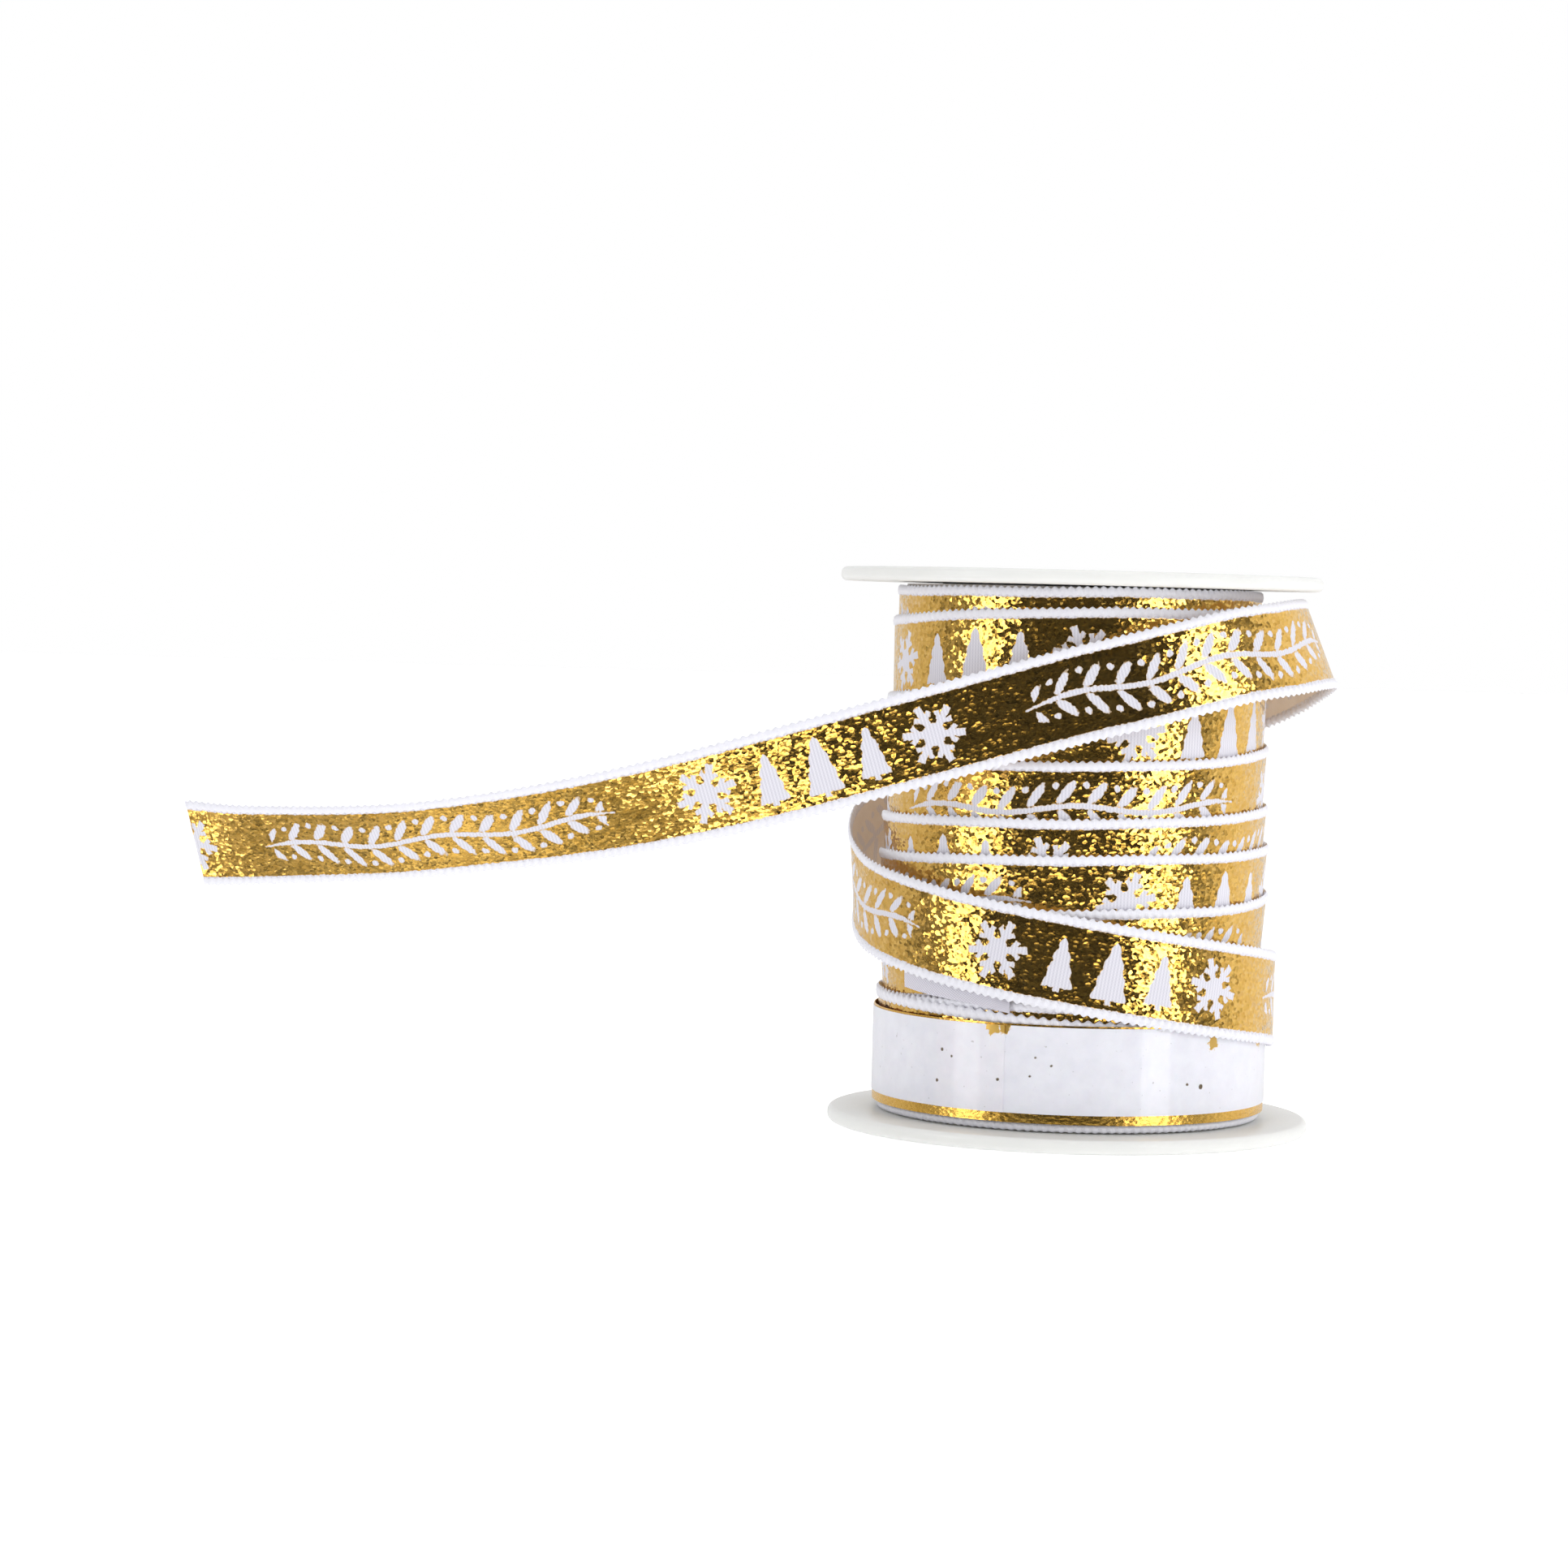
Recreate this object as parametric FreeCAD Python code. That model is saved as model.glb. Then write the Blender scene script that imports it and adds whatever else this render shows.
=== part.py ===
import FreeCAD, Part
import math
import os

from FreeCAD import Vector

# Ribbon spool standing upright on its lower flange: two flanges plugged into a core tube,
# one long satin ribbon wound on it, a holding band with a label round the bottom turn, and
# a loose outer coil of the same ribbon with a free tail that reaches out to the left.
# Millimetres, +Z up, front towards -Y. The origin is the centre of the lower flange's underside.

# Spool body
HEIGHT = 60.0
FLANGE_RADIUS = 26.0
FLANGE_THICKNESS = 1.5
RIM_ROUNDING = 0.6
BORE_RADIUS = 11.5
BORE_CHAMFER = 0.3
SPIGOT_LENGTH = 8.0
SPIGOT_CLEARANCE = 0.05
CORE_RADIUS = 15.0
CORE_WALL = 1.5

# Tape that holds the ribbon's first end on the core
TAPE_THICKNESS = 0.1
TAPE_HEIGHT = 12.0
TAPE_LOW_EDGE = 24.0
TAPE_ARC = 70.0

# Ribbon
RIBBON_WIDTH = 10.0
RIBBON_THICKNESS = 0.3
WINDING_RADIUS = 18.8
WINDING_END_GAP = 0.2
ARC_STEP = 15.0

# The wound outer turns, from the top one down: height of the upper edge, and the radius of
# the lower and the upper edge, where the turn crosses the front. Each turn is laid over the
# lower edge of the one above it. The first row is the lead-in from the winding below.
WOUND_TURNS = [
    (58.3, 19.1, 19.1),
    (58.3, 19.5, 19.5),
    (56.1, 19.9, 19.9),
    (48.0, 20.0, 20.4),
    (40.3, 20.0, 20.5),
    (34.35, 20.0, 20.66),
    (30.5, 20.15, 20.9),
    (24.7, 20.15, 20.9),
    (15.8, 20.0, 20.6),
    (13.7, 19.8, 20.3),
]
# Share of the winding's mean slope that a turn has where it crosses the front
FRONT_SLOPE = 0.45

# Last wound turn, under the band: azimuth, then height, lower and upper radius of its edges.
# It sinks to the right across the front and ends just short of its own beginning.
BANDED_TURN = [
    (-172.0, 14.4, 20.25, 20.87),
    (-90.0, 14.5, 20.25, 20.87),
    (0.0, 13.9, 20.25, 20.87),
    (90.0, 13.4, 20.2, 20.85),
    (180.0, 14.6, 20.15, 20.82),
]

# Folded-over flap above the banded turn: azimuth, and height of its lower and upper edge
FLAP = [(-59.0, 14.7, 19.0), (-46.0, 14.6, 18.0), (-32.0, 14.4, 16.6), (-21.0, 14.2, 14.9)]
FLAP_RADIUS = 21.0
FLAP_THICKNESS = 0.2

# Holding band and the label stuck round it
BAND_RADIUS = 21.1
BAND_THICKNESS = 0.1
BAND_LOW_EDGE = 2.5
BAND_HIGH_EDGE = 12.8
LABEL_THICKNESS = 0.1
LABEL_LOW_EDGE = 3.5
LABEL_HIGH_EDGE = 12.6
LABEL_SEAM = -18.0
LABEL_OVERLAP = 22.0

# Loose outer coil, from the front round the right side and the back and across the front
# again: azimuth, radius and height of its centre line, and how far its top leans inwards.
LOOSE_COIL = [
    (0.0, 22.3, 47.1, 2.0),
    (22.0, 23.2, 49.4, 8.0),
    (45.0, 24.5, 51.7, 14.0),
    (90.0, 25.9, 52.8, 22.0),
    (125.0, 25.2, 48.6, 15.0),
    (180.0, 24.6, 40.5, 4.0),
    (225.0, 24.9, 33.4, -4.0),
    (253.0, 24.6, 28.8, -5.0),
    (270.0, 23.9, 26.0, -4.0),
    (285.0, 23.2, 24.1, -2.0),
    (315.0, 22.35, 22.0, 0.0),
    (360.0, 21.95, 19.25, 0.0),
    (405.0, 21.95, 16.6, 0.0),
    (450.0, 22.0, 14.4, 0.0),
    (490.0, 22.1, 12.7, 0.0),
    (520.0, 22.2, 12.2, 0.0),
]
COIL_SPLIT = 255.0

# Free tail, from its cut end to the front of the coil: centre line and lean of its top edge.
TAIL = [
    (-94.9, -7.6, 28.2, -21.0),
    (-87.7, -11.0, 28.4, -30.0),
    (-72.0, -17.0, 29.5, -36.0),
    (-61.0, -19.3, 31.0, -35.0),
    (-51.0, -20.9, 32.8, -28.0),
    (-41.0, -21.7, 35.1, -20.0),
    (-31.5, -22.1, 37.7, -12.0),
    (-16.0, -22.4, 42.3, -4.0),
]
TAIL_HINGES = [2, 4, 6]
HINGE_GAP = 0.4


def smooth(rows, position, slope_share=1.0):
    """Values at a position on a smooth curve through rows that begin with their position."""
    last = len(rows) - 1
    index = 0
    while index < last - 1 and position > rows[index + 1][0]:
        index += 1
    start, end = rows[index], rows[index + 1]
    span = end[0] - start[0]
    fraction = (position - start[0]) / span

    def slope(row, column):
        before, after = rows[max(row - 1, 0)], rows[min(row + 1, last)]
        return slope_share * (after[column] - before[column]) / (after[0] - before[0])

    values = []
    for column in range(1, len(start)):
        rise = end[column] - start[column]
        first = slope(index, column) * span
        second = slope(index + 1, column) * span
        cubic = first + second - 2 * rise
        square = 3 * rise - 2 * first - second
        values.append(start[column] + fraction * (first + fraction * (square + fraction * cubic)))
    return values


def spaced(start, end, step):
    """Evenly spaced positions from start to end, about one step apart."""
    count = max(2, math.ceil(abs(end - start) / step))
    return [start + (end - start) * index / count for index in range(count + 1)]


def polar(radius, azimuth, height):
    """Point at a radius and height, with azimuth 0 at the front and 90 on the right."""
    angle = math.radians(azimuth)
    return Vector(radius * math.sin(angle), -radius * math.cos(angle), height)


def ring(inner_radius, outer_radius, low, high):
    outside = Part.makeCylinder(outer_radius, high - low, Vector(0, 0, low))
    inside = Part.makeCylinder(inner_radius, high - low, Vector(0, 0, low))
    return outside.cut(inside)


def ring_sector(inner_radius, thickness, low, high, middle, arc):
    """Part of a ring, with its middle at an azimuth."""
    corners = [
        Vector(inner_radius, 0, low),
        Vector(inner_radius + thickness, 0, low),
        Vector(inner_radius + thickness, 0, high),
        Vector(inner_radius, 0, high),
    ]
    profile = Part.Face(Part.makePolygon(corners + corners[:1]))
    sector = profile.revolve(Vector(0, 0, 0), Vector(0, 0, 1), arc)
    sector.rotate(Vector(0, 0, 0), Vector(0, 0, 1), middle - 90 - arc / 2)
    return sector


def section(low_edge, high_edge, facing, thickness=RIBBON_THICKNESS):
    """Cross-section of a ribbon between its two edges, as a closed wire."""
    half = facing * (thickness / 2)
    corners = [low_edge - half, high_edge - half, high_edge + half, low_edge + half]
    return Part.makePolygon(corners + corners[:1])


def lofted(sections):
    return Part.makeLoft(sections, True)


def flange(outer_face, inward):
    """Flange disc with its spigot, from its outer face inwards along +Z or -Z."""
    disc = Part.makeCylinder(FLANGE_RADIUS, FLANGE_THICKNESS)
    disc = disc.makeFillet(RIM_ROUNDING, [e for e in disc.Edges if len(e.Vertexes) == 1])
    spigot_radius = CORE_RADIUS - CORE_WALL - SPIGOT_CLEARANCE
    spigot = Part.makeCylinder(spigot_radius, FLANGE_THICKNESS + SPIGOT_LENGTH)
    solid = disc.fuse(spigot).removeSplitter()
    solid = solid.cut(Part.makeCylinder(BORE_RADIUS, FLANGE_THICKNESS + SPIGOT_LENGTH))
    lead_in = Part.makeCone(BORE_RADIUS + BORE_CHAMFER, BORE_RADIUS, BORE_CHAMFER)
    solid = solid.cut(lead_in)
    if inward < 0:
        solid.rotate(Vector(0, 0, 0), Vector(1, 0, 0), 180)
    solid.translate(Vector(0, 0, outer_face))
    return solid


def wound_station(azimuth, height, low_radius, high_radius):
    """Section of a wound turn: its upper edge at a height, each edge at its own radius."""
    low_edge = polar(low_radius, azimuth, height - RIBBON_WIDTH)
    high_edge = polar(high_radius, azimuth, height)
    facing = polar(1.0, azimuth, 0.0)
    return section(low_edge, high_edge, facing)


def wound_turn(number):
    """One turn of the shingled winding, from the back round the front to the back."""
    rows = [(-360.0 * (index - 1), *row) for index, row in enumerate(WOUND_TURNS)]
    rows.reverse()
    front = -360.0 * (number - 1)
    sections = []
    for turned in spaced(front - 180, front + 180, ARC_STEP):
        sections.append(wound_station(turned - front, *smooth(rows, turned, FRONT_SLOPE)))
    return lofted(sections)


def banded_turn():
    sections = []
    for azimuth in spaced(BANDED_TURN[0][0], BANDED_TURN[-1][0], ARC_STEP):
        sections.append(wound_station(azimuth, *smooth(BANDED_TURN, azimuth)))
    return lofted(sections)


def flap():
    """Corner of the ribbon folded over, with its woven reverse facing out."""
    sections = []
    for azimuth in spaced(FLAP[0][0], FLAP[-1][0], ARC_STEP / 2):
        low, high = smooth(FLAP, azimuth)
        low_edge = polar(FLAP_RADIUS, azimuth, low)
        high_edge = polar(FLAP_RADIUS, azimuth, high)
        sections.append(section(low_edge, high_edge, polar(1.0, azimuth, 0.0), FLAP_THICKNESS))
    return lofted(sections)


def label():
    inner = BAND_RADIUS + BAND_THICKNESS
    outer = inner + LABEL_THICKNESS
    wrap = ring(inner, outer, LABEL_LOW_EDGE, LABEL_HIGH_EDGE)
    middle = LABEL_SEAM - LABEL_OVERLAP / 2
    overlap = ring_sector(outer, LABEL_THICKNESS, LABEL_LOW_EDGE, LABEL_HIGH_EDGE, middle, LABEL_OVERLAP)
    return wrap.fuse(overlap).removeSplitter()


def loose_route():
    """Rows of run, x, y, z and lean along the loose ribbon, from the tail's cut end."""
    points = list(TAIL)
    for azimuth in spaced(LOOSE_COIL[0][0], LOOSE_COIL[-1][0], ARC_STEP):
        radius, height, lean = smooth(LOOSE_COIL, azimuth)
        point = polar(radius, azimuth, height)
        points.append((point.x, point.y, point.z, lean))
    rows = []
    run = 0.0
    for index, point in enumerate(points):
        if index:
            run += math.dist(points[index - 1][:3], point[:3])
        rows.append((run, *point))
    return rows


def loose_frame(route, run):
    """Centre, direction across the width and outward direction of the loose ribbon at a run."""
    step = 0.5
    before = Vector(*smooth(route, max(run - step, route[0][0]))[:3])
    after = Vector(*smooth(route, min(run + step, route[-1][0]))[:3])
    x, y, z, lean = smooth(route, run)
    along = (after - before).normalize()
    outward = along.cross(Vector(0, 0, 1)).normalize()
    upward = outward.cross(along)
    tilt = math.radians(lean)
    facing = outward * math.cos(tilt) + upward * math.sin(tilt)
    across = upward * math.cos(tilt) - outward * math.sin(tilt)
    return Vector(x, y, z), across, facing


def loose_strip(route, start, end, step):
    sections = []
    for run in spaced(start, end, step):
        centre, across, facing = loose_frame(route, run)
        half = across * (RIBBON_WIDTH / 2)
        sections.append(section(centre - half, centre + half, facing))
    return lofted(sections)


def loose_ribbon():
    """Shapes of the loose coil and of the tail's links, by node name."""
    route = loose_route()
    hinges = [route[index][0] for index in TAIL_HINGES]
    coil_start = route[len(TAIL)][0]
    coil_rows = len(route) - len(TAIL) - 1
    split_row = round(coil_rows * COIL_SPLIT / (LOOSE_COIL[-1][0] - LOOSE_COIL[0][0]))
    coil_split = route[len(TAIL) + split_row][0]
    gap = HINGE_GAP / 2
    step = 5.0
    stretches = {
        "tail_link_3": (route[0][0], hinges[0] - gap),
        "tail_link_2": (hinges[0] + gap, hinges[1] - gap),
        "tail_link_1": (hinges[1] + gap, hinges[2] - gap),
        "tail_root": (hinges[2] + gap, coil_start),
        "loose_loop": (coil_start, coil_split),
        "loose_diagonal": (coil_split, route[-1][0]),
    }
    for number, run in enumerate(reversed(hinges), start=1):
        centre, across, facing = loose_frame(route, run)
        print("tail hinge", number, "at", tuple(round(v, 2) for v in centre),
              "axis", tuple(round(v, 4) for v in across))
    for name, (start, end) in stretches.items():
        print(name, "length", round(end - start, 1))
    return {name: loose_strip(route, start, end, step) for name, (start, end) in stretches.items()}


def build():
    inner_faces = (FLANGE_THICKNESS, HEIGHT - FLANGE_THICKNESS)
    winding_ends = (inner_faces[0] + WINDING_END_GAP, inner_faces[1] - WINDING_END_GAP)
    tape_top = TAPE_LOW_EDGE + TAPE_HEIGHT
    shapes = {
        "lower_flange": flange(0.0, 1),
        "upper_flange": flange(HEIGHT, -1),
        "core_tube": ring(CORE_RADIUS - CORE_WALL, CORE_RADIUS, *inner_faces),
        "start_tape": ring_sector(CORE_RADIUS, TAPE_THICKNESS, TAPE_LOW_EDGE, tape_top, 0.0, TAPE_ARC),
        "ribbon_inner_winding": ring(CORE_RADIUS + TAPE_THICKNESS, WINDING_RADIUS, *winding_ends),
        "ribbon_banded_turn": banded_turn(),
        "ribbon_flap": flap(),
        "holding_band": ring(BAND_RADIUS, BAND_RADIUS + BAND_THICKNESS, BAND_LOW_EDGE, BAND_HIGH_EDGE),
        "band_label": label(),
    }
    for number in range(1, len(WOUND_TURNS) - 1):
        shapes[f"ribbon_turn_{number}"] = wound_turn(number)
    shapes.update(loose_ribbon())
    return shapes


def main():
    os.makedirs("parts", exist_ok=True)
    for name, shape in build().items():
        print(f"{name:22} valid {shape.isValid()}  solids {len(shape.Solids)}  {shape.Volume:9.1f} mm3")
        shape.exportStep(f"parts/{name}.step")


main()
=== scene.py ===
import math

import bpy
import numpy as np
from mathutils import Matrix, Vector


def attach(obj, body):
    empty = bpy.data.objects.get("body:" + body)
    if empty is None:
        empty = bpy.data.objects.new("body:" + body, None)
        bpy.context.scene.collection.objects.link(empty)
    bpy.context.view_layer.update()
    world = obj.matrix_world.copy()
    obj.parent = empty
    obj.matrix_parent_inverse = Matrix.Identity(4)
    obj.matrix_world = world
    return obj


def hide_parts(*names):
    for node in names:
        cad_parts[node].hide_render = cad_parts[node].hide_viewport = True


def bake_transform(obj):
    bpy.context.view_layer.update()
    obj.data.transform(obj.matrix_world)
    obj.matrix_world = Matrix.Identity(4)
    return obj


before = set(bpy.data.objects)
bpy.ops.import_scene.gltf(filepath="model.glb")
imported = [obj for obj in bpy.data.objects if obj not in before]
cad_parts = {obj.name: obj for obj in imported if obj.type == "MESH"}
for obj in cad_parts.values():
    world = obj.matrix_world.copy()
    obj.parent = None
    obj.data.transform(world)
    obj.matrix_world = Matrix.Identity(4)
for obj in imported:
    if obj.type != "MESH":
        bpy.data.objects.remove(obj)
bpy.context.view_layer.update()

# Lengths below are in millimetres unless a name says otherwise; meshes are made in metres.
MM = 0.001
TAU = 2 * math.pi
# Faces that meet at more than this many degrees keep a sharp edge between them.
SHARP_ANGLE = 50

# ---------------------------------------------------------------- ribbon
RIBBON_WIDTH = 10.0
CLOTH_THICKNESS = 0.16
CLOTH_HALF_WIDTH = 4.3
CLOTH_STEP = 0.8
CLOTH_COLUMNS = 8
CORD_CENTRE = 4.5
CORD_HALF_WIDTH = 0.6
CORD_HALF_THICKNESS = 0.27
CORD_PITCH = 0.88
CORD_RIDGE = 0.4
CORD_STEP = 0.15
CORD_POINTS = 8

# Printed pattern, along the ribbon. It repeats, and starts with the garland.
REPEAT = 84.5
GARLAND_START = -2.0
GARLAND_END = 40.0
GARLAND_WAVE = 16.0
LEAF_PITCH = 3.2
LEAFLESS_END = 1.8
LARGE_FIR = 61.35
SMALL_FIR_OFFSET = 5.45
SNOWFLAKE_OFFSET = 12.25
PRINT_HALF_WIDTH = 3.95
PRINT_SOFTNESS = 0.1
PRINT_RAGGEDNESS = 0.5
# Fir trees: height and width of the crown, waves down its side, and half sizes of the trunk
LARGE_FIR_SIZE = (6.0, 3.7)
SMALL_FIR_SIZE = (5.2, 3.1)
FIR_TAPER = 0.65
FIR_WAVES = 3.5
FIR_WAVE_DEPTH = 0.09
TRUNK_HALF_WIDTH = 0.34
TRUNK_HALF_HEIGHT = 0.45
# Snowflakes: six arms, each with a twig that leaves it on both sides
SNOWFLAKE_ANGLE = 10
ARM_LENGTH = 3.25
ARM_HALF_WIDTH = 0.38
TWIG_START = 1.55
TWIG_ANGLE = 50
TWIG_LENGTH = 1.15
TWIG_HALF_WIDTH = 0.27
TWIG_ROOT = 0.1
HUB_RADIUS = 1.2
# Garland: its stem, and a leaf and a berry on each side of it, by place from the stem
STEM_SWING = 0.42
STEM_HALF_WIDTH = 0.3
STEM_TAPER = 0.22
STEM_END = 0.8
LEAF_TAPER = 0.05
END_LEAF_SHARE = 0.62
LEAF_PLACE = (0.1, 1.45)
LEAF_ANGLE = 52
LEAF_HALF_LENGTH = 1.45
LEAF_HALF_WIDTH = 0.5
BERRY_PLACE = (-1.05, 2.2)
BERRY_RADIUS = 0.36

# Cloth and foil: sizes are cells or grains per millimetre, pitches and depths in millimetres
WEAVE_PITCH = 0.36
WEAVE_SHARE = 0.7
REVERSE_DEPTH = 0.02
FLAP_TWILL_PITCH = 0.42
FLAP_CROSS_PITCH = 0.3
FLAP_DEPTH = 0.035
STRAND_PITCH = 0.16
YARN_DEPTH = 0.02
FOIL_STRETCH = 0.75
CREASES_PER_MM = 3.2
FINE_CREASES_PER_MM = 4.0
FOIL_DEPTH = 0.022
GRAIN_TILT = 0.27
GRAINS_PER_MM = 3.2

# Wound turns: height of the upper edge, radius of the lower and upper edge, and the printed
# pattern's position, all where the turn crosses the front. The CAD source has the same turns,
# with turn 7 at 24.7 and turn 8 at 15.8. The first and last rows only steer their neighbours.
WOUND_TURNS = [
    (58.3, 19.1, 19.1, 44.0),
    (58.3, 19.5, 19.5, 16.0),
    (56.1, 19.9, 19.9, 73.2),
    (48.0, 20.0, 20.4, 42.8),
    (40.3, 20.0, 20.5, 20.0),
    (34.35, 20.0, 20.66, 76.3),
    (30.5, 20.15, 20.9, 43.5),
    (24.8, 20.15, 20.9, 16.6),
    (15.1, 20.0, 20.6, 74.0),
    (13.7, 19.8, 20.3, 46.0),
]
# Share of a smooth curve's slope that the turns have where they cross the front
FRONT_SLOPE = 0.45
WOUND_RADIUS = 20.4
TURN_LENGTH = TAU * WOUND_RADIUS
# Distance each side of the front where a turn's pattern is known
WOUND_REACH = 29.0
# Unevenness of the pack: depth, waves per turn and shift
PACK_WAVES = [(0.05, 3, 0.7), (0.035, 7, 2.1)]
BANDED_SWAY = 0.5
# Straying of a turn's edges up and down: height and run per radian of each wave, and a drop
EDGE_WAVES = [(0.08, 7.3), (0.04, 2.9)]
EDGE_DROP = 0.02
# The turn under the band: azimuth, height of the upper edge, radius of the lower and upper edge
BANDED_TURN = [
    (-172.0, 14.4, 20.25, 20.75),
    (-90.0, 14.65, 20.25, 20.75),
    (-40.0, 14.2, 20.25, 20.75),
    (0.0, 13.2, 20.25, 20.75),
    (45.0, 12.95, 20.25, 20.75),
    (100.0, 13.3, 20.2, 20.75),
    (180.0, 14.6, 20.15, 20.75),
]
BANDED_CORD_SCALE = 1.3
BANDED_PHASE = 10.0
# Folded corner: azimuth, and height of its lower and upper edge
FLAP = [(-56.0, 15.5, 19.0), (-46.0, 15.1, 18.4), (-28.0, 14.5, 17.2), (-17.0, 13.8, 15.3)]
FLAP_RADIUS = 21.0
FLAP_CROWN = 0.1
FLAP_HALF_THICKNESS = 0.07
FLAP_STATIONS = 40
FLAP_COLUMNS = 8
FLAP_PATTERN_WIDTH = 5.0
LOWEST_EDGE_RADIUS = 20.3
LOWEST_EDGE_HEIGHT = 2.1
LOWEST_EDGE_SIZE = 0.55
LOWEST_EDGE_STATIONS = 1100

# Loose coil, as in the CAD source: azimuth, radius and height of the centre line, and lean.
LOOSE_COIL = [
    (0.0, 22.3, 47.1, 2.0),
    (22.0, 23.2, 49.4, 8.0),
    (45.0, 24.5, 51.7, 14.0),
    (90.0, 25.9, 52.8, 22.0),
    (125.0, 25.2, 48.6, 15.0),
    (180.0, 24.6, 40.5, 4.0),
    (225.0, 24.9, 33.4, -4.0),
    (253.0, 24.6, 28.8, -5.0),
    (270.0, 23.9, 26.0, -4.0),
    (285.0, 23.2, 24.1, -2.0),
    (315.0, 22.35, 22.0, 0.0),
    (360.0, 21.95, 19.25, 0.0),
    (405.0, 21.95, 16.6, 0.0),
    (450.0, 22.0, 14.4, 0.0),
    (490.0, 22.1, 12.7, 0.0),
    (520.0, 22.2, 12.2, 0.0),
]
COIL_STEP = 15.0
COIL_SPLIT = 255.0
ROUTE_STEP = 0.5
# Distance along the loose ribbon where its pattern is known, each side of a known place
LOOSE_REACH = 45.0
# Free tail, as in the CAD source: x, y and z of its centre line, and lean.
TAIL = [
    (-94.9, -7.6, 28.2, -21.0),
    (-87.7, -11.0, 28.4, -30.0),
    (-72.0, -17.0, 29.5, -36.0),
    (-61.0, -19.3, 31.0, -35.0),
    (-51.0, -20.9, 32.8, -28.0),
    (-41.0, -21.7, 35.1, -20.0),
    (-31.5, -22.1, 37.7, -12.0),
    (-16.0, -22.4, 42.3, -4.0),
]
TAIL_HINGES = [2, 4, 6]
TAIL_BLEND_REACH = 8.0
TAIL_PHASE = -10.5
# Where the loose coil's pattern is known again after the back, and the pattern there
DIAGONAL_AZIMUTH = 336.0
DIAGONAL_PHASE = 47.6

# ---------------------------------------------------------------- label, band and spool
LABEL_RADIUS = 21.3
LABEL_DEPTH = 0.05
# Dust on the label: how sharply and where it starts in its noise, and how dark it is
DUST_GAIN = 14.0
DUST_START = -10.4
DUST_SHARE = 0.4
FILM_STRETCH = 1.9
FILM_CRINKLES_PER_MM = 1.5
FILM_DEPTH = 0.075
PLASTIC_DEPTH = 0.008
TAPE_DEPTH = 0.02
LAYER_PITCH = 0.3
LAYER_ROW_PITCH = 1.0
LAYER_DEPTH = 0.08
# Places on the label: azimuth, height, radius
LABEL_FLECKS = [(-18.0, 12.35, 0.6), (-21.5, 12.4, 0.8), (45.5, 10.95, 0.72), (72.0, 10.5, 0.65)]
LABEL_SPECKS = [
    (-38.0, 9.5, 0.18),
    (-34.5, 8.9, 0.14),
    (-39.5, 6.2, 0.17),
    (-19.7, 6.9, 0.17),
    (-9.0, 9.4, 0.13),
    (-4.5, 8.6, 0.11),
    (-10.5, 7.4, 0.12),
    (36.0, 6.7, 0.14),
    (41.0, 6.4, 0.26),
    (120.0, 9.5, 0.2),
    (205.0, 7.0, 0.18),
]

# ---------------------------------------------------------------- colours, linear RGB
GOLD_DEEP = (0.70, 0.38, 0.055, 1.0)
GOLD_BRIGHT = (0.92, 0.59, 0.15, 1.0)
SATIN_SHADE = (0.5, 0.49, 0.57, 1.0)
SATIN_LIGHT = (0.82, 0.81, 0.87, 1.0)
YARN_SHADE = (0.72, 0.72, 0.80, 1.0)
YARN_LIGHT = (0.88, 0.88, 0.93, 1.0)
FLAP_SHADE = (0.42, 0.4, 0.49, 1.0)
REVERSE_SHADE = (0.79, 0.68, 0.56, 1.0)
REVERSE_LIGHT = (0.91, 0.82, 0.72, 1.0)
PLASTIC_SHADE = (0.69, 0.70, 0.69, 1.0)
PLASTIC_LIGHT = (0.77, 0.77, 0.75, 1.0)
LABEL_SHADE = (0.71, 0.68, 0.75, 1.0)
LABEL_LIGHT = (0.87, 0.84, 0.89, 1.0)
SPECK_COLOUR = (0.12, 0.08, 0.04, 1.0)
TAPE_SHADE = (0.55, 0.45, 0.25, 1.0)
TAPE_LIGHT = (0.75, 0.68, 0.45, 1.0)

# ---------------------------------------------------------------- camera and light
CAMERA_PLACE = (0.0, -449.0, 55.4)
CAMERA_LENS = 94.85
CAMERA_SENSOR = 36.0
CAMERA_CLIP = (0.01, 50.0)
CAMERA_TURN_LEFT = 4.04
CAMERA_TILT_DOWN = 2.45
CAMERA_ROLL = 1.5
# Brightness of the surroundings at the sides and the back, and how much it grows to the right
SIDE_LEVEL = 0.86
SIDE_RISE = 0.16
LEAST_REACH = 0.001
# Brightness of the surroundings in front, by a direction's rise: -1 straight down, 1 straight up.
# A direction counts as front where the cosine of its azimuth passes from the start to the end.
FRONT_LEVELS = [
    (-0.97, 0.85),
    (-0.87, 0.5),
    (-0.76, 0.16),
    (-0.68, 0.5),
    (-0.58, 1.3),
    (-0.50, 3.8),
    (-0.43, 2.0),
    (-0.36, 0.5),
    (-0.28, 0.05),
    (0.40, 0.05),
    (0.80, 0.4),
]
FRONT_PEAK = 4.0
# Patches in front that the foil's grains sparkle with: cells per unit, and contrast
PATCH_SCALE = 7.0
PATCH_CONTRAST = 9.0
PATCH_LEAST = 0.2
FRONT_START = -0.4
FRONT_END = 0.42
# Softboxes: name, azimuth, distance, (width, height) in metres, brightness
SOFTBOXES = [
    ("left_softbox", -60.0, 0.95, (0.3, 1.1), 4.0),
    ("right_softbox", 52.0, 0.95, (0.32, 1.1), 5.0),
]
SOFTBOX_HEIGHT = 0.2
LIGHT_TARGET = (0.0, 0.0, 0.03)
# Light from the camera's side that the foil doesn't mirror: azimuth, distance, height, size,
# brightness
FILL_LIGHT = (38.0, 1.1, 0.45, (0.9, 0.9), 0.85)
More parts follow.
